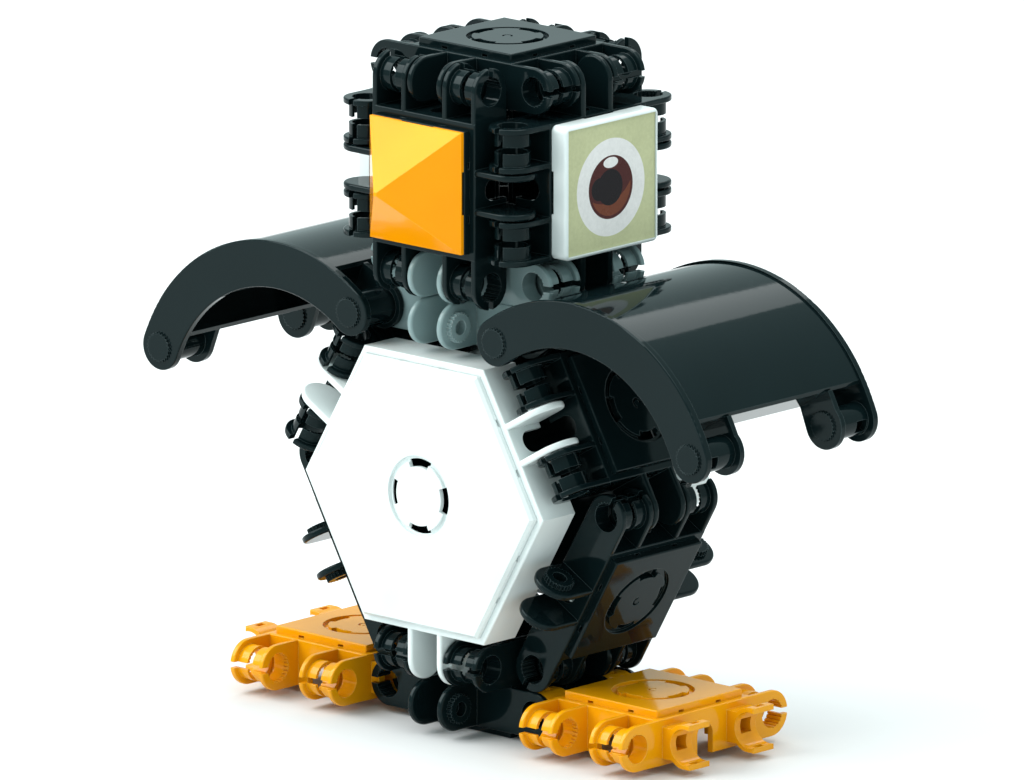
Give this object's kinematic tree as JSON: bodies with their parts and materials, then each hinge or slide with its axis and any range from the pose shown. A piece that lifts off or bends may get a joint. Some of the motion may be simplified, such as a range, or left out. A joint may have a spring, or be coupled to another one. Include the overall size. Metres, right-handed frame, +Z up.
{
  "type": "block-built penguin figure",
  "caption": "Standing penguin figure of click-together hinge blocks, with a cube head, hexagonal body, arched wings and flat hinged feet.",
  "frame": {"origin": "centre of the flat square cap under the base block, the face the figure stands on", "axes": "+Z up; +X to the figure's left; -Y the way the beak points"},
  "size_m": [0.1552, 0.0652, 0.1411],
  "materials": {
    "black_plastic": "gloss",
    "grey_plastic": "gloss",
    "white_plastic": "gloss",
    "orange_plastic": "gloss",
    "amber_plastic": "gloss",
    "eye_olive": "satin print",
    "eye_white": "satin print",
    "eye_brown": "satin print",
    "eye_glow": "satin print",
    "eye_dark": "satin print"
  },
  "bodies": {
    "trunk": {"back_backing": "black_plastic", "back_cap": "white_plastic", "back_frame": "white_plastic", "base_cap": "black_plastic", "base_frame": "black_plastic", "beak": "amber_plastic", "belly_backing": "black_plastic", "belly_cap": "white_plastic", "belly_frame": "white_plastic", "body_top_cap": "grey_plastic", "body_top_frame": "grey_plastic", "eye_left_box": "white_plastic", "eye_left_face": "eye_olive", "eye_left_glow": "eye_glow", "eye_left_iris": "eye_brown", "eye_left_pupil": "eye_dark", "eye_left_shine": "eye_white", "eye_left_white": "eye_white", "eye_right_box": "white_plastic", "eye_right_face": "eye_olive", "eye_right_glow": "eye_glow", "eye_right_iris": "eye_brown", "eye_right_pupil": "eye_dark", "eye_right_shine": "eye_white", "eye_right_white": "eye_white", "head_back_cap": "black_plastic", "head_back_frame": "black_plastic", "head_bottom_cap": "grey_plastic", "head_bottom_frame": "grey_plastic", "head_front_cap": "black_plastic", "head_front_frame": "black_plastic", "head_left_cap": "black_plastic", "head_left_frame": "black_plastic", "head_right_cap": "black_plastic", "head_right_frame": "black_plastic", "head_top_cap": "black_plastic", "head_top_frame": "black_plastic", "ring_bottom_cap": "black_plastic", "ring_bottom_frame": "black_plastic", "ring_lower_left_cap": "black_plastic", "ring_lower_left_frame": "black_plastic", "ring_lower_right_cap": "black_plastic", "ring_lower_right_frame": "black_plastic", "ring_upper_left_cap": "black_plastic", "ring_upper_left_frame": "black_plastic", "ring_upper_right_cap": "black_plastic", "ring_upper_right_frame": "black_plastic"},
    "left_wing": {"wing_left_arch_back": "black_plastic", "wing_left_arch_front": "black_plastic", "wing_left_shell": "black_plastic"},
    "right_wing": {"wing_right_arch_back": "black_plastic", "wing_right_arch_front": "black_plastic", "wing_right_shell": "black_plastic"},
    "left_foot": {"foot_left_cap": "orange_plastic", "foot_left_frame": "orange_plastic"},
    "right_foot": {"foot_right_cap": "orange_plastic", "foot_right_frame": "orange_plastic"}
  },
  "joints": [
    {"name": "left_wing_hinge", "type": "hinge", "parent": "trunk", "child": "left_wing", "pos_m": [0.02, 0, 0.08518], "axis": [0, -1, 0], "range_deg": [-16, 6]},
    {"name": "right_wing_hinge", "type": "hinge", "parent": "trunk", "child": "right_wing", "pos_m": [-0.02, 0, 0.08518], "axis": [0, 1, 0], "range_deg": [-16, 6]},
    {"name": "left_foot_hinge", "type": "hinge", "parent": "trunk", "child": "left_foot", "pos_m": [0.02, 0, 0.0063], "axis": [0, -1, 0], "range_deg": [-30, 18]},
    {"name": "right_foot_hinge", "type": "hinge", "parent": "trunk", "child": "right_foot", "pos_m": [-0.02, 0, 0.0063], "axis": [0, 1, 0], "range_deg": [-30, 18]}
  ]
}
